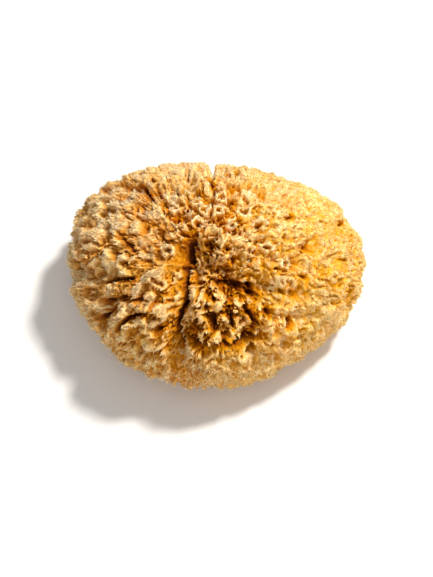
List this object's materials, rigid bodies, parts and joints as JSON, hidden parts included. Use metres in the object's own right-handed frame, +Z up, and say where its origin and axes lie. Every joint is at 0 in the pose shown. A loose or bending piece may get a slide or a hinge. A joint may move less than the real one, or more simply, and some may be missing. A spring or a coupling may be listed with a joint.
{
  "type": "sea sponge",
  "caption": "Dried sea wool sponge: a broad lobed dome of golden fibre tufts with open water canals, cut flat underneath so that it rests on a surface.",
  "frame": {"origin": "under the middle of the sponge's box, on its flat cut", "axes": "+Z up from the flat cut to the crown, +X along the longest side, -Y to the front with the main cleft"},
  "size_m": [0.1506, 0.118, 0.0723],
  "materials": {
    "sponge_fibre": "dry, matt, springy golden-tan fibre, paler at the tips and amber in the canals"
  },
  "bodies": {
    "root": {"sponge": "sponge_fibre"}
  },
  "joints": []
}
